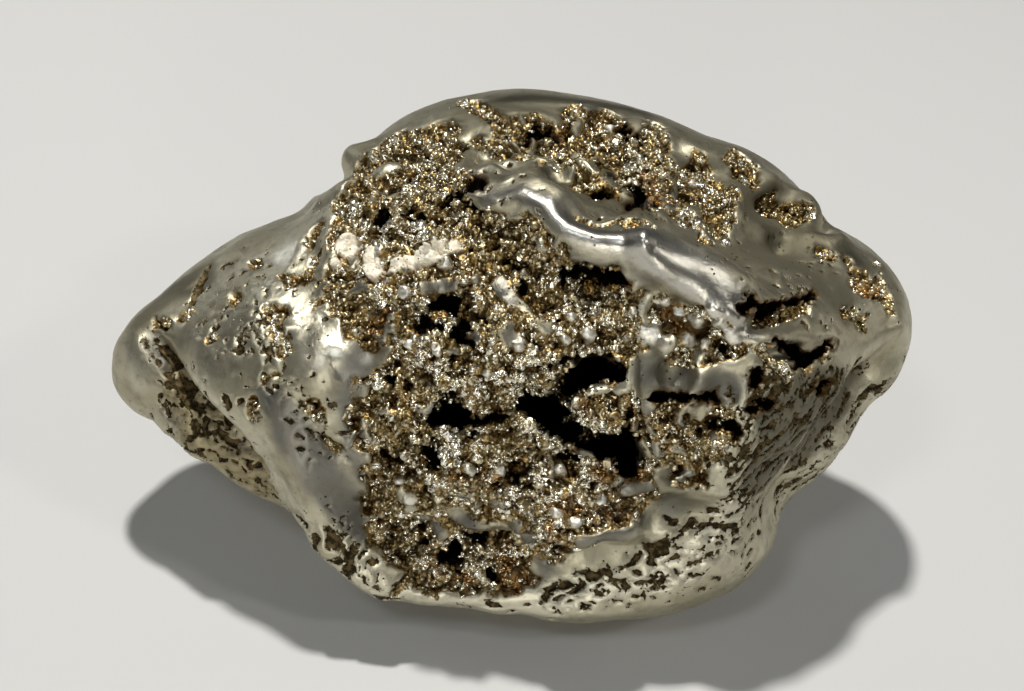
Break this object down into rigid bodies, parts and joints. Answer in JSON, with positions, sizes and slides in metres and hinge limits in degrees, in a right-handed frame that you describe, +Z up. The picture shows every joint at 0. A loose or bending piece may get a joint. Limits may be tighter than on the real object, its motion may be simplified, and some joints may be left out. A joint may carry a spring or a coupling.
{
  "type": "native platinum nugget",
  "caption": "Rounded lump of native platinum with worn smooth ridges, granular hollows, pits and a dark cleft, resting on a small flat.",
  "frame": {"origin": "under the middle of the nugget's length and depth, level with the flat it rests on", "axes": "+X along the nugget, from its narrow snout to its blunt nose; +Y away from its granular face; +Z up"},
  "size_m": [0.0692, 0.0443, 0.0397],
  "materials": {
    "platinum": "worn satin on the high places, granular in the hollows"
  },
  "bodies": {
    "root": {"nugget": "platinum"}
  },
  "joints": []
}
